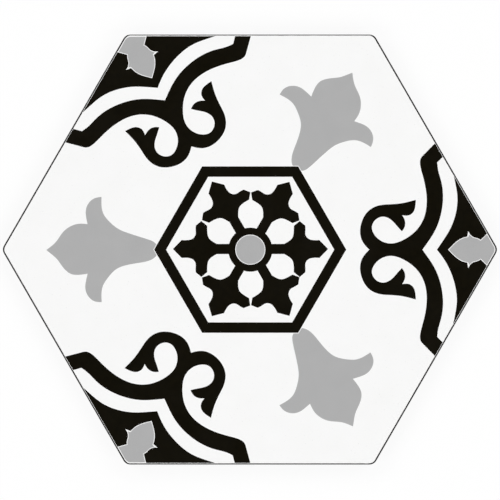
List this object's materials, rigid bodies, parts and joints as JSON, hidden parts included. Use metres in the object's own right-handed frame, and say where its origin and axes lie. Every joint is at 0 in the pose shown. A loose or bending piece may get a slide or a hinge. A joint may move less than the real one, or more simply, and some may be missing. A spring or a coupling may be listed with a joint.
{
  "type": "hexagonal porcelain tile",
  "caption": "Flat hexagonal glazed porcelain tile with rounded corners, a black, grey and white ornament printed on its face and a honeycomb key for adhesive on its back.",
  "frame": {"origin": "middle of the back, on the plane that its rim and ribs stand on", "axes": "+Z out of the decorated face, +X through one corner, which holds a black corner ornament, +Y square to a flat side"},
  "size_m": [0.2528, 0.22, 0.009],
  "materials": {
    "glazed_porcelain": "satin white glaze with a printed black and grey ornament; the sides and back are bare fired porcelain"
  },
  "bodies": {
    "root": {"porcelain_tile": "glazed_porcelain"}
  },
  "joints": []
}
